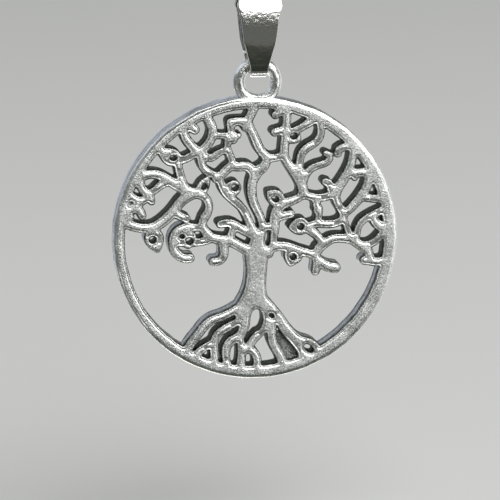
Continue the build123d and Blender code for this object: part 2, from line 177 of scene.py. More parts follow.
# Its ramps: the input from low to high, and what it becomes
SAND_STAIN = (0.42, 0.64, 0.04, 0.53)
CLOUD_STAIN = (0.38, 0.68, 0.0, 0.10)
STREAK_STAIN = (0.4, 0.62, 0.0, 0.46)
BLOTCH_SHARE = (0.35, 0.65, 0.82, 1.12)
# Crowding to how much darker the patina is, a painted shade
CROWD_SHADE_SHARE = (0.2, 0.5, 0.78, 0.98)
SHEEN_BY_STAIN_AND_SHADE = (0.5, 1.0)
GRAIN_ROUGHNESS = (0.3, 0.7, 0.23, 0.33)
WORN_SAND = (-0.4, 0.0, 0.25, 1.0)
POLISH_STAIN = (0.0, 1.0, 1.0, 0.45)
POLISH_STREAK = (0.0, 0.5, 1.0, 0.0)
POLISH_ROUGHNESS = (0.0, 1.0, 1.0, 0.9)
POLISH_SAND = (0.0, 1.0, 1.0, 0.3)
# How far inside the disc's radius the outer wall's streaks begin and are full
STREAK_DEPTHS = (0.08, 0.03)
# How many times longer the streaks are round the disc than through it
STREAK_STRETCH = 8

# Polished silver: colours from clean to mottled, and sizes, depths and strengths as above
POLISHED_COLOURS = ((0.72, 0.71, 0.69), (0.38, 0.38, 0.37))
WAVE_SIZE = 0.9
FINE_SIZE = 0.12
MOTTLE_SIZE = 0.4
RIPPLE_SIZE = 0.34
WAVE_DEPTH = 0.03
WAVE_STRENGTH = 0.6
FINE_DEPTH = 0.003
FINE_STRENGTH = 0.5
RIPPLE_DEPTH = 0.056
# Its ramps, of which the band's are heights under the origin
FINE_ROUGHNESS = (0.3, 0.7, 0.08, 0.20)
BAND_FOOT = (-4.4, -3.6)
BAND_TOP = (-2.8, -1.8)
MOTTLE_EDGE = (0.45, 0.6)
FINE_EDGE = (0.35, 0.7)
MOTTLE_COLOUR = (0.0, 2.0)
RIPPLE_SWING = (0.0, 1.0, -0.5, 0.5)

# Soft panels round the pendant, at a distance in metres: name, azimuth to the right of its front,
# elevation, width and height, glow, colour
PANEL_DISTANCE = 1.5
PANELS = (
    ("key_panel", 26, 42, 60, 48, 3.9, (1, 1, 1)),
    ("side_panel", 46, -6, 30, 44, 1.5, (1, 1, 1)),
    ("front_panel", 8, 12, 44, 15, 0.15, (0.95, 1, 1)),
    ("high_left_panel", -92, 40, 60, 50, 0.75, (0.86, 0.92, 1.0)),
    ("low_left_panel", -52, -38, 44, 26, 0.6, (1, 1, 1)),
    ("low_back_panel", 188, -46, 60, 44, 2.4, (1, 0.98, 0.9)),
    ("rear_panel", 125, -8, 70, 60, 0.7, (1, 1, 1)),
    ("back_panel", 203, 10, 70, 64, 0.5, (0.76, 0.82, 1.0)),
)

ROOM_GLOW = 0.18
ROOM_COLOUR = (0.9, 0.94, 0.87)
BACKDROP = (0.42, 0.42, 0.43)

# Floor, with its reach and height in metres
FLOOR_REACH = 3
FLOOR_HEIGHT = -0.06
PAPER_COLOUR = (0.8, 0.8, 0.8)
PAPER_ROUGHNESS = 0.9

# Dark card before the pendant, which its polished parts mirror: direction and reach, distance in metres,
# and its colour below and along its top edge
CARD = (8, -36, 64, 52)
CARD_DISTANCE = 0.4
CARD_COLOURS = ((0.12, 0.155, 0.12), (0.4, 0.37, 0.32))
CARD_TOP_EDGE = (0.88, 1.0)

# Corners of a square sheet, in order
SQUARE = ((-1, -1), (1, -1), (1, 1), (-1, 1))


def direction(azimuth, elevation):
    """Way out from the pendant, by an azimuth to the right of its front and an elevation, in radians."""
    return Vector((math.sin(azimuth) * math.cos(elevation), -math.cos(azimuth) * math.cos(elevation),
                   math.sin(elevation)))


def placed(name, data):
    """A new object in the scene."""
    obj = bpy.data.objects.new(name, data)
    bpy.context.scene.collection.objects.link(obj)
    return obj


def photo_camera(centre):
    """Camera of the photograph, aimed so that the disc's centre falls on its pixel."""
    azimuth, elevation, roll = map(math.radians, (CAMERA_AZIMUTH, CAMERA_ELEVATION, CAMERA_ROLL))
    away = direction(azimuth, elevation)
    focal_px = PIXELS_PER_MM * CAMERA_DISTANCE
    ahead = -away
    right = ahead.cross(Vector((0, 0, 1))).normalized()
    above = right.cross(ahead)
    across = (DISC_CENTRE_PX[0] - PHOTO_SIZE / 2) / focal_px
    down = -(DISC_CENTRE_PX[1] - PHOTO_SIZE / 2) / focal_px
    pan = math.atan2(across, 1.0)
    tilt = math.atan2(down, math.hypot(1.0, across))
    forward = ahead * math.cos(pan) - right * math.sin(pan)
    side = right * math.cos(pan) + ahead * math.sin(pan)
    top = above * math.cos(tilt) + forward * math.sin(tilt)
    forward = forward * math.cos(tilt) - above * math.sin(tilt)
    side, top = (side * math.cos(roll) + top * math.sin(roll),
                 top * math.cos(roll) - side * math.sin(roll))
    data = bpy.data.cameras.new("photo_camera")
    data.sensor_width = SENSOR_WIDTH
    data.lens = SENSOR_WIDTH * focal_px / PHOTO_SIZE
    camera = placed("photo_camera", data)
    place = centre + away * CAMERA_DISTANCE * MM
    turn = Matrix((side, top, -forward)).transposed().to_4x4()
    camera.matrix_world = Matrix.Translation(place) @ turn
    bpy.context.scene.camera = camera


def new_object(name, points, faces, smooth=True):
    """A mesh object from points in metres."""
    mesh = bpy.data.meshes.new(name)
    mesh.from_pydata([tuple(p) for p in points], [], [tuple(f) for f in faces])
    mesh.validate()
    mesh.polygons.foreach_set("use_smooth", [smooth] * len(mesh.polygons))
    return placed(name, mesh)


def front_outline(node):
    """Border segments of the casting's flat front face, as points (x, z) in millimetres."""
    mesh = node.data
    mesh.calc_loop_triangles()
    points = np.empty(len(mesh.vertices) * 3)
    mesh.vertices.foreach_get("co", points)
    points = points.reshape(-1, 3) / MM
    corners = np.empty(len(mesh.loop_triangles) * 3, dtype=np.int64)
    mesh.loop_triangles.foreach_get("vertices", corners)
    corners = corners.reshape(-1, 3)
    front = points[:, 1].min()
    flat = (np.abs(points[corners][:, :, 1] - front) < FLAT_WITHIN).all(axis=1)
    keys = np.round(points[:, (0, 2)] * MERGED_PER_MM).astype(np.int64)
    _, first, merged = np.unique(keys, axis=0, return_index=True, return_inverse=True)
    corners = merged.reshape(-1)[corners[flat]]
    edges = np.concatenate([corners[:, (0, 1)], corners[:, (1, 2)], corners[:, (2, 0)]])
    edges = edges[edges[:, 0] != edges[:, 1]]
    _, place, count = np.unique(np.sort(edges, axis=1), axis=0, return_index=True, return_counts=True)
    border = edges[place[count == 1]]
    return points[first][:, (0, 2)][border], front


def soften(values, sigma):
    """Gaussian blur of a grid, by its Fourier transform."""
    rows = np.fft.fftfreq(values.shape[0])[:, None]
    columns = np.fft.rfftfreq(values.shape[1])[None, :]
    damp = np.exp(-2 * (math.pi * sigma) ** 2 * (rows ** 2 + columns ** 2))
    return np.fft.irfft2(np.fft.rfft2(values) * damp, values.shape)


def wander(shape, sigma, rng):
    """Smooth random grid with a spread of one."""
    grid = soften(rng.standard_normal(shape), sigma)
    return grid / grid.std()


class Field:
    """Distance into the casting, in millimetres, on a grid over the disc."""

    def __init__(self, segments, centre, reach, rng):
        self.low = np.array(centre) - reach - FIELD_MARGIN
        count = int(math.ceil(2 * (reach + FIELD_MARGIN) / FIELD_STEP)) + 1
        xs = self.low[0] + np.arange(count) * FIELD_STEP
        zs = self.low[1] + np.arange(count) * FIELD_STEP
        away = np.full((count, count), FIELD_CAP)
        for start, end in segments:
            low = np.floor((np.minimum(start, end) - FIELD_CAP - self.low) / FIELD_STEP).astype(int)
            high = np.ceil((np.maximum(start, end) + FIELD_CAP - self.low) / FIELD_STEP).astype(int) + 1
            low = np.maximum(low, 0)
            x = xs[None, low[0]:high[0]] - start[0]
            z = zs[low[1]:high[1], None] - start[1]
            along = end - start
            share = np.clip((x * along[0] + z * along[1]) / (along @ along), 0, 1)
            gap = np.hypot(x - share * along[0], z - share * along[1])
            window = away[low[1]:high[1], low[0]:high[0]]
            np.minimum(window, gap, out=window)
        inside = np.zeros((count, count), dtype=bool)
        below = np.minimum(segments[:, 0, 1], segments[:, 1, 1])
        above = np.maximum(segments[:, 0, 1], segments[:, 1, 1])
        for row, z in enumerate(zs):
            hit = segments[(below <= z) & (above > z)]
            share = (z - hit[:, 0, 1]) / (hit[:, 1, 1] - hit[:, 0, 1])
            crossings = np.sort(hit[:, 0, 0] + share * (hit[:, 1, 0] - hit[:, 0, 0]))
            inside[row] = np.searchsorted(crossings, xs) % 2 == 1
        self.solid = inside.astype(float)
        depth = np.where(inside, away, -away)
        depth = soften(depth, CORNER_SOFTENING / FIELD_STEP)
        roam = wander(depth.shape, OUTLINE_WANDER_SIZE / FIELD_STEP, rng)
        self.depth = depth + roam * OUTLINE_WANDER

    def at(self, grid, points):
        """Values of a grid at points (x, z), between its four nearest samples."""
        place = (points - self.low) / FIELD_STEP
        corner = np.clip(np.floor(place).astype(int), 0, grid.shape[0] - 2)
        x, z = (place - corner).T
        column, row = corner.T
        return ((grid[row, column] * (1 - x) + grid[row, column + 1] * x) * (1 - z)
                + (grid[row + 1, column] * (1 - x) + grid[row + 1, column + 1] * x) * z)

    def inward(self, points):
        """Direction into the metal at points (x, z)."""
        step = FIELD_STEP
        x = self.at(self.depth, points + (step, 0)) - self.at(self.depth, points - (step, 0))
        z = self.at(self.depth, points + (0, step)) - self.at(self.depth, points - (0, step))
        way = np.stack([x, z], axis=1)
        return way / np.maximum(np.linalg.norm(way, axis=1, keepdims=True), 1e-9)

    def loops(self, level):
        """Closed lines where the depth is at a level, with the metal on their left."""
        values = self.depth - level
        count = values.shape[1]
        inside = values > 0
        a, b = inside[:-1, :-1], inside[:-1, 1:]
        d, c = inside[1:, :-1], inside[1:, 1:]
        code = a + 2 * b + 4 * c + 8 * d
        rows, columns = np.nonzero((code > 0) & (code < 15))
        code = code[rows, columns]
        middle = (values[rows, columns] + values[rows, columns + 1]
                  + values[rows + 1, columns] + values[rows + 1, columns + 1]) > 0
        base = rows * count + columns
        bottom, top = 2 * base, 2 * (base + count)
        left, right = 2 * base + 1, 2 * (base + 1) + 1
        side = {"B": bottom, "T": top, "L": left, "R": right}
        turns = {1: "BL", 2: "RB", 3: "RL", 4: "TR", 6: "TB", 7: "TL", 8: "LT", 9: "BT", 11: "RT",
                 12: "LR", 13: "BR", 14: "LB"}
        saddles = {(5, True): ("BR", "TL"), (5, False): ("BL", "TR"),
                   (10, True): ("LB", "RT"), (10, False): ("RB", "LT")}
        following = np.full(2 * values.size, -1, dtype=np.int64)
        for value, way in turns.items():
            pick = code == value
            following[side[way[0]][pick]] = side[way[1]][pick]
        for (value, joined), ways in saddles.items():
            pick = (code == value) & (middle == joined)
            for way in ways:
                following[side[way[0]][pick]] = side[way[1]][pick]
        used = np.nonzero(following >= 0)[0]
        cell = used // 2
        row, column = cell // count, cell % count
        upright = used % 2 == 1
        here = values[row, column]
        there = values[row + upright, column + ~upright]
        share = here / (here - there)
        spot = np.zeros((2 * values.size, 2))
        spot[used, 0] = self.low[0] + (column + np.where(upright, 0, share)) * FIELD_STEP
        spot[used, 1] = self.low[1] + (row + np.where(upright, share, 0)) * FIELD_STEP
        seen = set()
        found = []
        for start in used.tolist():
            if start in seen:
                continue
            chain = []
            at = start
            while at not in seen:
                seen.add(at)
                chain.append(at)
                at = int(following[at])
            found.append(spot[chain])
        return found


def spaced(loop, step):
    """Points at even spacing round a closed line, or none where it is too short."""
    closed = np.vstack([loop, loop[:1]])
    lengths = np.linalg.norm(np.diff(closed, axis=0), axis=1)
    total = lengths.sum()
    if total < FEWEST_POINTS * step / 2:
        return None
    travelled = np.concatenate([[0], np.cumsum(lengths)])
    count = max(FEWEST_POINTS, round(total / step))
    places = np.arange(count) * total / count
    return np.stack([np.interp(places, travelled, closed[:, axis]) for axis in (0, 1)], axis=1)


def casting_sheets(field, rng):
    """Triangles of the pierced disc seen from the front, and each point's place on the softened edge."""
    points, turns, borders, edges = [], [], [], []
    for turn in EDGE_TURNS:
        level = EDGE_REACH * (1 - math.cos(math.radians(turn)))
        for loop in field.loops(level):
            ring = spaced(loop, OUTLINE_STEP)
            if ring is None:
                continue
            first = len(points)
            ids = list(range(first, first + len(ring)))
            points += ring.tolist()
            turns += [turn] * len(ring)
            edges += list(zip(ids, ids[1:] + ids[:1]))
            if turn == 0:
                borders.append(ids)
    count = int(2 * (DISC_RADIUS + FIELD_MARGIN) / FACE_POINT_STEP)
    rows, columns = np.mgrid[0:count, 0:count]
    inner = np.stack([columns.ravel(), rows.ravel()], axis=1) * FACE_POINT_STEP + field.low
    inner += rng.uniform(-FACE_POINT_JITTER, FACE_POINT_JITTER, inner.shape) * FACE_POINT_STEP
    inner = inner[field.at(field.depth, inner) > EDGE_REACH + FACE_POINT_INSET]
    points += inner.tolist()
    turns += [FACE_TURN] * len(inner)
    flat, _, faces, sources, _, _ = delaunay_2d_cdt([Vector(p) for p in points], edges, [], 0,
                                                    JOINED_WITHIN)
    new_id = {}
    for out, olds in enumerate(sources):
        for old in olds:
            new_id[old] = out
    level_of = np.array([turns[olds[0]] if olds else FACE_TURN for olds in sources])
    flat = np.array([tuple(p) for p in flat])
    faces = np.array([tuple(face) for face in faces])
    borders = [[new_id[i] for i in ids] for ids in borders]
    walls = {frozenset(pair) for ids in borders for pair in zip(ids, ids[1:] + ids[:1])}
    # Triangles joined across every edge but a border are all metal, or all gap
    owner = list(range(len(faces)))

    def root(i):
        while owner[i] != i:
            owner[i] = owner[owner[i]]
            i = owner[i]
        return i

    sharing = {}
    for number, face in enumerate(faces.tolist()):
        for pair in ((face[0], face[1]), (face[1], face[2]), (face[2], face[0])):
            key = frozenset(pair)
            if key in walls:
                continue
            if key in sharing:
                owner[root(number)] = root(sharing[key])
            else:
                sharing[key] = number
    groups = np.array([root(i) for i in range(len(faces))])
    middle = flat[faces].mean(axis=1)
    depth = field.at(field.depth, middle)
    kept = np.zeros(len(faces), dtype=bool)
    for group in np.unique(groups):
        mine = groups == group
        strongest = depth[mine][np.argmax(np.abs(depth[mine]))]
        kept[mine] = strongest > 0
    return flat, faces[kept], level_of, borders


def casting(node, rng):
    """The pierced disc with softened edges, inside the CAD disc's outline."""
    segments, front = front_outline(node)
    low = segments.reshape(-1, 2).min(axis=0)
    high = segments.reshape(-1, 2).max(axis=0)
    centre = (low + high) / 2
    field = Field(segments, centre, DISC_RADIUS, rng)
    flat, faces, turns, borders = casting_sheets(field, rng)
    back = -front
    used = np.zeros(len(flat), dtype=bool)
    used[faces.ravel()] = True
    drop = EDGE_DROP * (1 - np.sin(np.radians(turns)))
    out = flat - centre
    rim = np.hypot(*out.T) > FRAME_MIDDLE
    facing = out @ (math.cos(RIM_SHARP_SIDE), math.sin(RIM_SHARP_SIDE)) / DISC_RADIUS
    drop *= 1 - RIM_SHARPNESS * rim * np.clip(facing * RIM_SHARP_RATE, 0, 1)
    wave = wander(field.depth.shape, FACE_WAVE_SIZE / FIELD_STEP, rng)
    swell = (field.at(wave, flat) * FACE_WAVE + FACE_WAVE * FACE_WAVE_SINK).clip(0, None)
    swell *= turns >= FACE_WAVE_TURN
    # Crowding of metal round each point, kept to paint shade into crowded hollows
    crowd_shade = field.at(soften(field.solid, CROWD_SHADE_SIZE / FIELD_STEP), flat)
    number = np.cumsum(used) - 1
    sheet = flat[used]
    front_points = np.stack([sheet[:, 0], front + (drop + swell)[used], sheet[:, 1]], axis=1)
    back_points = np.stack([sheet[:, 0], back - (drop + swell)[used], sheet[:, 1]], axis=1)
    total = len(sheet)
    points = [front_points, back_points]
    ids = number[faces]
    polygons = ids.tolist() + (ids[:, ::-1] + total).tolist()
    crowd_shading = [crowd_shade[used], crowd_shade[used]]
    gap_side = ~rim | (np.hypot(*out.T) < FRAME_MIDDLE)
    patina = np.interp(turns, EDGE_TURNS, EDGE_PATINA)
    worn = np.where(turns < FACE_TURN, min(EDGE_PATINA), 0.0)
    patina = np.where(gap_side, patina, worn)[used]
    walls = [patina, patina.copy()]
    roam = wander(field.depth.shape, WALL_WANDER_SIZE / FIELD_STEP, rng)
    first = 2 * total
    for border in borders:
        border = [i for i in border if used[i]]
        if len(border) < 3:
            continue
        spots = flat[border]
        is_gap = np.linalg.norm(spots - centre, axis=1).max() < FRAME_MIDDLE
        following = np.roll(spots, -1, axis=0)
        area = abs(np.sum(spots[:, 0] * following[:, 1] - spots[:, 1] * following[:, 0])) / 2
        darkness = float(is_gap) * np.interp(area, GAP_AREAS, GAP_PATINA)
        ways = field.inward(spots)
        rows = [number[border]]
        for row in range(1, WALL_ROWS):
            share = row / WALL_ROWS
            shift = field.at(roam, spots + share * WALL_ROW_SHIFT) * WALL_WANDER
            shift += WALL_HOLLOW * math.sin(math.pi * share)
            moved = spots + ways * shift[:, None]
            height = front + drop[border] + (back - front - 2 * drop[border]) * share
            points.append(np.stack([moved[:, 0], height, moved[:, 1]], axis=1))
            crowd_shading.append(crowd_shade[border])
            walls.append(np.full(len(moved), darkness))
            rows.append(np.arange(first, first + len(moved)))
            first += len(moved)
        rows.append(number[border] + total)
        for upper, lower in zip(rows, rows[1:]):
            upper, lower = upper.tolist(), lower.tolist()
            after_upper, after_lower = upper[1:] + upper[:1], lower[1:] + lower[:1]
            polygons += list(zip(upper, lower, after_lower, after_upper))
    points = np.concatenate(points)
    return points, polygons, np.concatenate(crowd_shading), np.concatenate(walls), centre


def web_plate(centre, front, rng):
    """The sunken web: a short rounded plate with an uneven front, its edges inside the roots."""
    line = np.array(WEB_LINE) + centre
    lengths = np.linalg.norm(np.diff(line, axis=0), axis=1)
    travelled = np.concatenate([[0], np.cumsum(lengths)])
    half = WEB_WIDTH / 2
    rows, columns = WEB_POINTS
    along = np.linspace(-half, travelled[-1] + half, rows)
    across = np.linspace(-1, 1, columns)
    first_way = (line[1] - line[0]) / lengths[0]
    last_way = (line[-1] - line[-2]) / lengths[-1]
    sheet = []
    for place in along:
        inside = min(max(place, 0), travelled[-1])
        spot = np.array([np.interp(inside, travelled, line[:, axis]) for axis in (0, 1)])
        way = first_way + (last_way - first_way) * inside / travelled[-1]
        way = way / np.linalg.norm(way)
        over = place - inside
        reach = math.sqrt(max(half ** 2 - over ** 2, WEB_END_REACH ** 2))
        for share in across:
            sheet.append(spot + way * over + np.array([-way[1], way[0]]) * reach * share)
    sheet = np.array(sheet)
    dents = rng.uniform(0, WEB_DENT, len(sheet))
    top = np.stack([sheet[:, 0], front + dents, sheet[:, 1]], axis=1)
    under = np.stack([sheet[:, 0], np.full(len(sheet), WEB_BACK) - dents, sheet[:, 1]], axis=1)
    faces = []
    for row in range(rows - 1):
        for column in range(columns - 1):
            a = row * columns + column
            quad = (a, a + 1, a + columns + 1, a + columns)
            faces.append(quad)
            faces.append(tuple(i + len(sheet) for i in reversed(quad)))
    round_about = [row * columns for row in range(rows)]
    round_about += [(rows - 1) * columns + column for column in range(1, columns)]
    round_about += [row * columns + columns - 1 for row in range(rows - 2, -1, -1)]
    round_about += list(range(columns - 2, 0, -1))
    for a, b in zip(round_about, round_about[1:] + round_about[:1]):
        faces.append((b, a, a + len(sheet), b + len(sheet)))
    return np.concatenate([top, under]), faces


def skin(rows, count):
    """Faces round a row of sections with a number of points each, with a cap on each end."""
    faces = []
    for row in range(rows - 1):
        for column in range(count):
            a = row * count + column
            b = row * count + (column + 1) % count
            faces.append((a, b, b + count, a + count))
    faces.append(tuple(range(count))[::-1])
    faces.append(tuple(range((rows - 1) * count, rows * count)))
    return faces


def bail_line(hinge, top):
    """Side view of the bail's sheet, as points (y, z) from below its seam, round the foot, up and back."""
    foot = BAIL_EYE_RADIUS + BAIL_SHEET / 2
    rises, leans = np.array(BAIL_LEANS, dtype=float).T
    rise = np.linspace(0, rises[-1], BAIL_LEG_POINTS)
    slope = np.tan(np.radians(np.interp(rise, rises, leans)))
    inward = np.concatenate([[0], np.cumsum((slope[1:] + slope[:-1]) / 2 * np.diff(rise))])
    leg = np.stack([foot - inward, hinge + rise], axis=1)
    last = math.radians(leans[-1])
    corner = leg[-1]
    crown = np.array([0, top - BAIL_SHEET / 2])
    pull = (crown[1] - corner[1]) * BAIL_CROWN_PULL
    first_handle = corner + np.array([-math.sin(last), math.cos(last)]) * pull
    last_handle = crown + np.array([corner[0] * BAIL_CROWN_PULL, 0])
    share = np.linspace(0, 1, BAIL_CROWN_POINTS)[1:, None]
    fold_over = ((1 - share) ** 3 * corner + 3 * share * (1 - share) ** 2 * first_handle
                 + 3 * share ** 2 * (1 - share) * last_handle + share ** 3 * crown)
    back = np.concatenate([leg, fold_over])
    seam = hinge - foot - BAIL_SHEET / 2 + BAIL_SEAM_HEIGHT
    low = back[back[:, 1] < seam - BAIL_SEAM / 2]
    high = back[back[:, 1] > seam + BAIL_SEAM / 2]
    turns = np.radians(np.arange(-BAIL_FOLD_STEP, -180, -BAIL_FOLD_STEP))
    fold = np.stack([foot * np.cos(turns), hinge + foot * np.sin(turns)], axis=1)
    return np.concatenate([low[::-1], fold, back * (-1, 1), high[-2::-1]])


def bail_mesh(hinge, top, rng):
    """The bail's strip, with rounded edges and a slightly uneven face."""
    line = bail_line(hinge, top)
    ways = np.gradient(line, axis=0)
    ways /= np.linalg.norm(ways, axis=1, keepdims=True)
    outward = np.stack([ways[:, 1], -ways[:, 0]], axis=1)
    half_sheet = BAIL_SHEET / 2
    arc = np.radians(np.linspace(0, 90, BAIL_EDGE_POINTS))
    corner = [(BAIL_EDGE * (1 - math.cos(turn)), BAIL_EDGE * (1 - math.sin(turn))) for turn in arc]
    middle = np.linspace(-1, 1, BAIL_FACE_POINTS)[1:-1]
    starts = rng.uniform(0, 2 * math.pi, len(BAIL_WAVES))
    points = []
    for (y, z), (out_y, out_z) in zip(line, outward):
        height = z - (top - BAIL_HEIGHT)
        half = np.interp(height, *zip(*BAIL_WIDTHS)) / 2
        section = [(-half + inset, half_sheet - drop) for inset, drop in corner]
        section += [((half - BAIL_EDGE) * share, half_sheet) for share in middle]
        section += [(half - inset, half_sheet - drop) for inset, drop in reversed(corner)]
        section += [(half - inset, drop - half_sheet) for inset, drop in corner]
        section += [((half - BAIL_EDGE) * -share, -half_sheet) for share in middle]
        section += [(-half + inset, drop - half_sheet) for inset, drop in reversed(corner)]
        for across, depth in section:
            uneven = sum(math.sin(x_rate * across + z_rate * z + start)
                         for (x_rate, z_rate), start in zip(BAIL_WAVES, starts))
            depth -= (0.5 - uneven / 4) * BAIL_WAVE_DEPTH
            points.append((across, y + out_y * depth, z + out_z * depth))
    return np.array(points), skin(len(line), len(points) // len(line))


def tube(centre, radius, thickness, start, end, rng):
    """A ring of round wire in the XZ plane, from one angle to another, closed at both ends."""
    around, across = LOOP_POINTS
    points = []
    bumps = rng.uniform(0, 2 * math.pi, LOOP_WAVES)
    for step in range(around + 1):
        angle = start + (end - start) * step / around
        out = np.array([math.cos(angle), 0, math.sin(angle)])
        for turn in range(across):
            slant = 2 * math.pi * turn / across
            wobble = sum(math.sin(k * angle + (k % 3 + 1) * slant + bumps[k]) / (k + 1)
                         for k in range(2, LOOP_WAVES))
            width = thickness / 2 * (1 + LOOP_WOBBLE * wobble - LOOP_SHRINK)
            offset = out * (math.cos(slant) * width) + np.array([0, math.sin(slant) * width, 0])
            points.append(centre + out * radius + offset)
    return np.array(points), skin(around + 1, across)


def tint(rgb):
    return (*rgb, 1.0)


class Nodes:
    """Short calls for building a material's nodes."""

    def __init__(self, name):
        self.material = bpy.data.materials.new(name)
        self.material.use_nodes = True
        self.tree = self.material.node_tree
        self.shader = self.tree.nodes["Principled BSDF"]

    def plug(self, value, socket):
        """Links another node's socket, or sets a plain value."""
        if isinstance(value, bpy.types.NodeSocket):
            self.tree.links.new(value, socket)
        else:
            socket.default_value = value

    def add(self, kind, **inputs):
        node = self.tree.nodes.new("ShaderNode" + kind)
        for key, value in inputs.items():
            self.plug(value, node.inputs[key.replace("_", " ")])
        return node

    def set(self, name, value):
        self.plug(value, self.shader.inputs[name])

    def noise(self, coordinates, size, detail=2.0, roughness=0.6):
        return self.add("TexNoise", Vector=coordinates, Scale=1 / (size * MM), Detail=detail,
                        Roughness=roughness).outputs["Fac"]

    def ramp(self, value, low, high, start=0.0, end=1.0):
        return self.add("MapRange", Value=value, From_Min=low, From_Max=high, To_Min=start,
                        To_Max=end).outputs["Result"]

    def calc(self, a, operation, b):
        node = self.add("Math")
        node.operation = operation
        self.plug(a, node.inputs[0])
        self.plug(b, node.inputs[1])
        return node.outputs[0]

    def mix(self, share, low, high):
        """Colour between two, by a share from 0 to 1; sockets 6 and 7 are the node's two colours."""
        node = self.add("Mix")
        node.data_type = "RGBA"
        self.plug(share, node.inputs[0])
        self.plug(tint(low), node.inputs[6])
        self.plug(tint(high), node.inputs[7])
        return node.outputs[2]

    def bump(self, height, depth, strength=1.0, normal=None):
        node = self.add("Bump", Height=height, Distance=depth * MM, Strength=strength)
        if normal is not None:
            self.plug(normal, node.inputs["Normal"])
        return node.outputs["Normal"]

    def attribute(self, name):
        node = self.add("Attribute")
        node.attribute_name = name
        return node.outputs["Fac"]

    def round_disc(self, spot):
        """A point's distance from the disc's axis, its shortened way round the disc, and its depth."""
        middle = self.add("VectorMath")
        middle.operation = "SUBTRACT"
        self.plug(spot, middle.inputs[0])
        self.plug((0, 0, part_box("medallion")[0][2] + DISC_RADIUS * MM), middle.inputs[1])
        x, y, z = self.add("SeparateXYZ", Vector=middle.outputs[0]).outputs
        squares = self.calc(self.calc(x, "POWER", 2.0), "ADD", self.calc(z, "POWER", 2.0))
        along = self.calc(self.calc(z, "ARCTAN2", x), "MULTIPLY", DISC_RADIUS * MM / STREAK_STRETCH)
        return self.calc(squares, "POWER", 0.5), along, y


def antique_silver():
    """Plated casting: sandy faces, hollows darkened by patina and by painted shade where strokes crowd,
    and bright worn edges.
    """
    n = Nodes("antique_silver")
    spot = n.add("TexCoord").outputs["Object"]
    sand = n.noise(spot, SAND_SIZE, FINE_DETAIL, SAND_NOISE_ROUGHNESS)
    grain = n.noise(spot, GRAIN_SIZE)
    cloud = n.noise(spot, CLOUD_SIZE, FINE_DETAIL)
    wall, crowd_shade, polish = (n.attribute(name) for name in ("wall", "crowd_shade", "polish"))
    stain_and_shade = n.calc(n.ramp(sand, *SAND_STAIN), "ADD", n.ramp(cloud, *CLOUD_STAIN))
    stain_and_shade = n.calc(stain_and_shade, "MULTIPLY", n.ramp(polish, *POLISH_STAIN))
    # Blotchy patina on the edges and walls, made darker where the strokes crowd as painted shade
    blotch = n.ramp(n.noise(spot, BLOTCH_SIZE), *BLOTCH_SHARE)
    blotchy_crowd_shade = n.calc(n.ramp(crowd_shade, *CROWD_SHADE_SHARE), "MULTIPLY", blotch)
    stain_and_shade = n.calc(stain_and_shade, "ADD", n.calc(wall, "MULTIPLY", blotchy_crowd_shade))
    # Polishing streaks round the ring's outer wall, but not on the loop
    across, along, depth = n.round_disc(spot)
    streak = n.noise(n.add("CombineXYZ", X=along, Y=depth).outputs[0], STREAK_SIZE)
    on_wall = n.ramp(across, *((DISC_RADIUS - inset) * MM for inset in STREAK_DEPTHS))
    on_wall = n.calc(on_wall, "MULTIPLY", n.ramp(polish, *POLISH_STREAK))
    stain_and_shade = n.calc(stain_and_shade, "ADD", n.calc(n.ramp(streak, *STREAK_STAIN), "MULTIPLY", on_wall))
    n.set("Base Color", n.mix(n.ramp(stain_and_shade, 0.0, 1.0), *ANTIQUE_COLOURS))
    n.set("Specular Tint", n.mix(n.ramp(stain_and_shade, *SHEEN_BY_STAIN_AND_SHADE), *ANTIQUE_SHEENS))
    n.set("Metallic", 1.0)
    n.set("Roughness", n.calc(n.ramp(grain, *GRAIN_ROUGHNESS), "MULTIPLY",
                              n.ramp(polish, *POLISH_ROUGHNESS)))
    sandy = n.calc(n.ramp(polish, *POLISH_SAND), "MULTIPLY", n.ramp(wall, *WORN_SAND))
    rough = n.bump(n.calc(sand, "MULTIPLY", sandy), SAND_DEPTH)
    dents = n.bump(n.calc(n.noise(spot, DENT_SIZE), "MULTIPLY", polish), DENT_DEPTH, normal=rough)
    n.set("Normal", n.bump(n.calc(grain, "MULTIPLY", sandy), GRAIN_DEPTH, GRAIN_STRENGTH, dents))
    return n.material


def polished_silver():
    """Polished plate on sheet metal, slightly wavy, with a mottled and rippled band across it."""
    n = Nodes("polished_silver")
    spot = n.add("TexCoord").outputs["Object"]
    wave = n.noise(spot, WAVE_SIZE)
    fine = n.noise(spot, FINE_SIZE, FINE_DETAIL)
    mottle = n.noise(spot, MOTTLE_SIZE, FINE_DETAIL)
    ripple = n.noise(spot, RIPPLE_SIZE, FINE_DETAIL)
    height = n.add("SeparateXYZ", Vector=spot).outputs["Z"]
    foot = n.ramp(height, *(z * MM for z in BAND_FOOT))
    band = n.calc(foot, "MULTIPLY", n.ramp(height, *(z * MM for z in BAND_TOP), 1.0, 0.0))
    mottle = n.calc(n.ramp(mottle, *MOTTLE_EDGE), "MULTIPLY", band)
    mottle = n.calc(n.ramp(fine, *FINE_EDGE), "ADD", mottle)
    n.set("Base Color", n.mix(n.ramp(mottle, *MOTTLE_COLOUR), *POLISHED_COLOURS))
    n.set("Metallic", 1.0)
    n.set("Roughness", n.ramp(fine, *FINE_ROUGHNESS))
    ripple = n.calc(n.ramp(ripple, *RIPPLE_SWING), "MULTIPLY", band)
    wavy = n.bump(ripple, RIPPLE_DEPTH, normal=n.bump(wave, WAVE_DEPTH, WAVE_STRENGTH))
    n.set("Normal", n.bump(fine, FINE_DEPTH, FINE_STRENGTH, wavy))
    return n.material


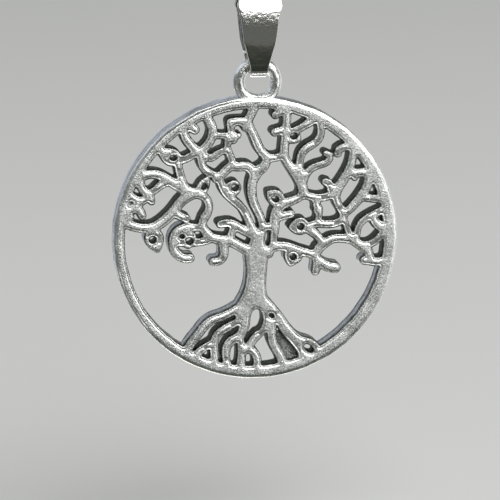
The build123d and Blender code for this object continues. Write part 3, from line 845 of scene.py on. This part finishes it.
def soft_panel(aim, name, azimuth, elevation, width, height, glow, colour):
    """A panel facing the pendant, by its direction and reach in degrees; glow is what a mirror shows."""
    azimuth, elevation, width, height = map(math.radians, (azimuth, elevation, width, height))
    data = bpy.data.lights.new(name, "AREA")
    data.shape = "RECTANGLE"
    data.size = 2 * PANEL_DISTANCE * math.tan(width / 2)
    data.size_y = 2 * PANEL_DISTANCE * math.tan(height / 2)
    data.energy = glow * math.pi * data.size * data.size_y
    data.color = colour
    light = placed(name, data)
    away = direction(azimuth, elevation)
    light.location = aim + away * PANEL_DISTANCE
    light.rotation_euler = (-away).to_track_quat("-Z", "Y").to_euler()
    return light


rng = np.random.default_rng(SEED)

# The medallion: the pierced disc, its loop and its web in one mesh
points, polygons, crowd_shade, walls, centre = casting(bpy.data.objects["medallion"], rng)
disc_z = float(centre[1])
disc_middle = Vector((0, 0, disc_z)) * MM
box_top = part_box("medallion")[1][2] / MM
loop_z = box_top - LOOP_OUTER_DIAMETER / 2
loop_radius = (LOOP_OUTER_DIAMETER - LOOP_WIRE) / 2
foot_reach = FRAME_MIDDLE
rise = loop_z - disc_z
foot_sine = (foot_reach ** 2 - rise ** 2 - loop_radius ** 2) / (2 * rise * loop_radius)
foot_angle = math.asin(max(-1.0, foot_sine))
ring_points, ring_faces = tube(np.array([0, 0, loop_z]), loop_radius, LOOP_WIRE, foot_angle,
                               math.pi - foot_angle, rng)
web_points, web_faces = web_plate(centre, WEB_FRONT, rng)
polish = np.zeros(len(points))
# Loop and web take a fixed crowding for the painted shade, with their patina and polish
for more_points, more_faces, (crowd_shading, wall, shine) in ((ring_points, ring_faces, LOOP_LOOKS),
                                                         (web_points, web_faces, WEB_LOOKS)):
    first = len(points)
    points = np.concatenate([points, more_points])
    polygons += [tuple(i + first for i in face) for face in more_faces]
    crowd_shade = np.concatenate([crowd_shade, np.full(len(more_points), crowd_shading)])
    walls = np.concatenate([walls, np.full(len(more_points), wall)])
    polish = np.concatenate([polish, np.full(len(more_points), shine)])
low, high = (np.array(corner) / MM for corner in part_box("medallion"))
points = np.clip(points, low, high)

medallion = new_object("cast_medallion", points * MM, polygons)
# The crowding attribute is painted shade, darker where the strokes crowd; wall holds patina and wear
for name, values in (("crowd_shade", crowd_shade), ("wall", walls), ("polish", polish)):
    layer = medallion.data.attributes.new(name, "FLOAT", "POINT")
    layer.data.foreach_set("value", values.astype(np.float32))
medallion.data.materials.append(antique_silver())
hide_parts("medallion")
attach(medallion, "medallion")

# The bail, passed through the loop
bail_low, bail_high = (np.array(corner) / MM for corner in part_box("bail"))
hinge_z = bail_low[2] + BAIL_SHEET + BAIL_EYE_RADIUS
points, polygons = bail_mesh(hinge_z, bail_high[2], rng)
bail = new_object("folded_bail", np.clip(points, bail_low, bail_high) * MM, polygons)
bail.data.materials.append(polished_silver())
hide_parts("bail")
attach(bail, "bail")

photo_camera(disc_middle)

floor = new_object("floor", [(x * FLOOR_REACH, y * FLOOR_REACH, FLOOR_HEIGHT) for x, y in SQUARE],
                   [(0, 1, 2, 3)], smooth=False)
paper = Nodes("paper")
paper.set("Base Color", tint(PAPER_COLOUR))
paper.set("Roughness", PAPER_ROUGHNESS)
floor.data.materials.append(paper.material)
floor.visible_glossy = False
floor.visible_shadow = False

azimuth, elevation, width, height = map(math.radians, CARD)
card_away = direction(azimuth, elevation)
card_side = Vector((math.cos(azimuth), math.sin(azimuth), 0)) * math.tan(width / 2) * CARD_DISTANCE
card_up = card_side.cross(card_away).normalized() * math.tan(height / 2) * CARD_DISTANCE
card_middle = disc_middle + card_away * CARD_DISTANCE
card = new_object("dark_card", [card_middle + card_side * x + card_up * z for x, z in SQUARE],
                  [(0, 1, 2, 3)], smooth=False)
felt = Nodes("felt")
card_height = felt.add("SeparateXYZ", Vector=felt.add("TexCoord").outputs["Generated"]).outputs["Z"]
felt.set("Base Color", felt.mix(felt.ramp(card_height, *CARD_TOP_EDGE), *CARD_COLOURS))
felt.set("Roughness", 1.0)
card.data.materials.append(felt.material)
card.visible_camera = False
card.visible_shadow = False
card.visible_diffuse = False

# Only the key lights the floor too
pendant = bpy.data.collections.new("pendant")
for piece in (medallion, bail):
    pendant.objects.link(piece)
for panel in PANELS:
    light = soft_panel(disc_middle, *panel)
    if panel[0] != "key_panel":
        light.light_linking.receiver_collection = pendant

# The camera sees a plain backdrop, and all else the room's own glow
world = bpy.data.worlds.new("studio")
bpy.context.scene.world = world
world.use_nodes = True
sky = world.node_tree.nodes
room = sky["Background"]
room.inputs[0].default_value = tint(ROOM_COLOUR)
room.inputs[1].default_value = ROOM_GLOW
backdrop = sky.new("ShaderNodeBackground")
backdrop.inputs[0].default_value = tint(BACKDROP)
seen = sky.new("ShaderNodeLightPath")
either = sky.new("ShaderNodeMixShader")
links = world.node_tree.links
links.new(seen.outputs["Is Camera Ray"], either.inputs[0])
links.new(room.outputs[0], either.inputs[1])
links.new(backdrop.outputs[0], either.inputs[2])
links.new(either.outputs[0], sky["World Output"].inputs["Surface"])

bpy.context.scene.view_settings.view_transform = "Standard"
